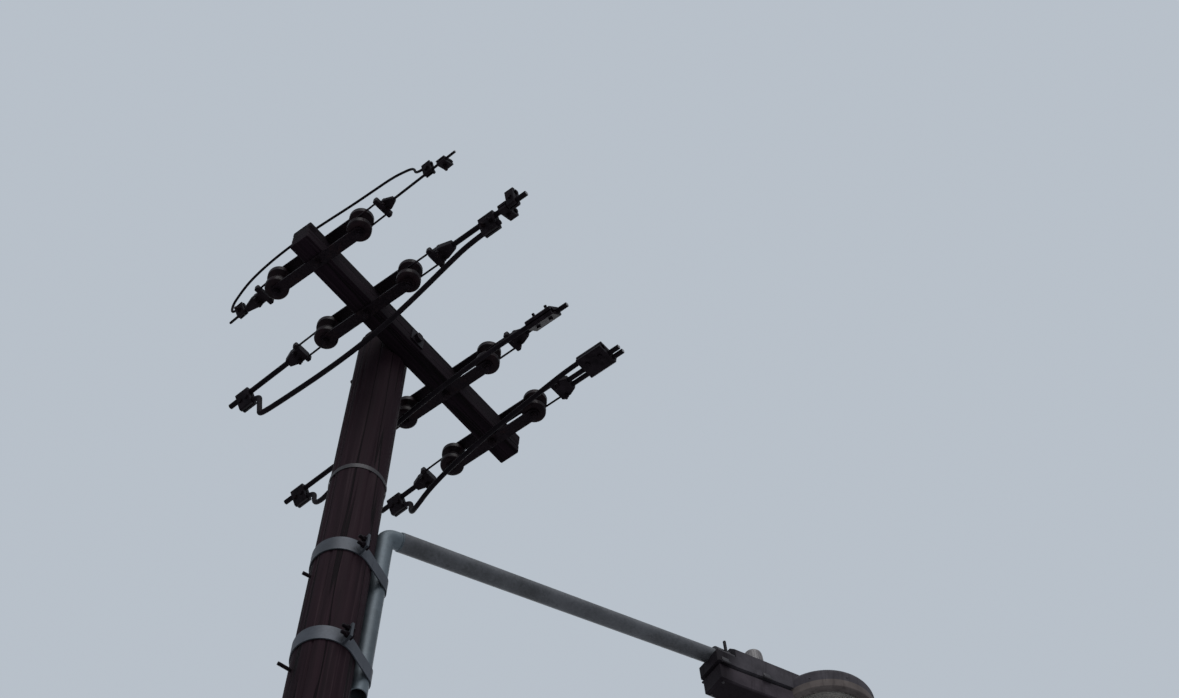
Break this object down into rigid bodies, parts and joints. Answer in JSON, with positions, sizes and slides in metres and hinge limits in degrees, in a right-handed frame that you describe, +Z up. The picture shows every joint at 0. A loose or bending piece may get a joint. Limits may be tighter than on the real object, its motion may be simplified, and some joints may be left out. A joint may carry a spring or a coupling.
{
  "type": "timber utility pole with street light",
  "caption": "Round timber pole with a bolted crossarm, shackle insulators, dead-end clamps, jumper cables and a strapped pipe bracket that carries a street lantern.",
  "frame": {"origin": "middle of the pole at ground level", "axes": "+Z up the pole, X along the crossarm with the lantern towards +X, lines leave towards -Y and +Y"},
  "size_m": [2.5353, 1.4982, 9.5076],
  "materials": {
    "pole_timber": "weathered, treated",
    "arm_timber": "dark, weathered",
    "galvanised_steel": "galvanised, dull",
    "dark_steel": "weathered",
    "glazed_porcelain": "brown glaze",
    "clamp_alloy": "weathered dark",
    "cable_cover": "matt",
    "lantern_paint": "grey, chalky",
    "lantern_ring": "brownish grey",
    "lantern_glass": "clear, dusty",
    "sensor_cap": "matt",
    "reflector_metal": "spun, dusty",
    "lampholder_porcelain": "white glaze",
    "lamp_glass": "coated inside"
  },
  "bodies": {
    "root": {"pole": "pole_timber", "crossarm": "arm_timber", "crossarm_bolt": "dark_steel", "shackle_straps_1": "dark_steel", "insulator_front_1": "glazed_porcelain", "insulator_back_1": "glazed_porcelain", "dead_end_clamp_front_1": "clamp_alloy", "dead_end_clamp_back_1": "clamp_alloy", "jumper_1": "cable_cover", "shackle_straps_2": "dark_steel", "insulator_front_2": "glazed_porcelain", "insulator_back_2": "glazed_porcelain", "dead_end_clamp_front_2": "clamp_alloy", "dead_end_clamp_back_2": "clamp_alloy", "jumper_2": "cable_cover", "shackle_straps_3": "dark_steel", "insulator_front_3": "glazed_porcelain", "insulator_back_3": "glazed_porcelain", "dead_end_clamp_front_3": "clamp_alloy", "dead_end_clamp_back_3": "clamp_alloy", "jumper_3": "cable_cover", "shackle_straps_4": "dark_steel", "insulator_front_4": "glazed_porcelain", "insulator_back_4": "glazed_porcelain", "dead_end_clamp_front_4": "clamp_alloy", "dead_end_clamp_back_4": "clamp_alloy", "jumper_4": "cable_cover", "strap_bolts": "dark_steel", "insulator_bolts": "dark_steel", "bails": "dark_steel", "clamp_bolts": "dark_steel", "connector_bolts": "dark_steel", "conductor_ends": "cable_cover", "connector_jaws": "clamp_alloy", "bracket_tail": "galvanised_steel", "bracket_arm": "galvanised_steel", "pole_band_upper": "galvanised_steel", "pole_band_lower": "galvanised_steel", "pipe_strap_upper": "galvanised_steel", "pipe_strap_lower": "galvanised_steel", "band_bolts": "galvanised_steel", "thin_strap": "galvanised_steel", "pole_pegs": "galvanised_steel", "lantern_saddle": "galvanised_steel", "lantern_saddle_studs": "galvanised_steel", "lantern_housing": "lantern_paint", "lantern_gear_cover": "lantern_paint", "lantern_ring": "lantern_ring", "lantern_bowl": "lantern_glass", "lantern_photocell": "sensor_cap", "lantern_reflector": "reflector_metal", "lampholder": "lampholder_porcelain", "lamp": "lamp_glass"}
  },
  "joints": []
}
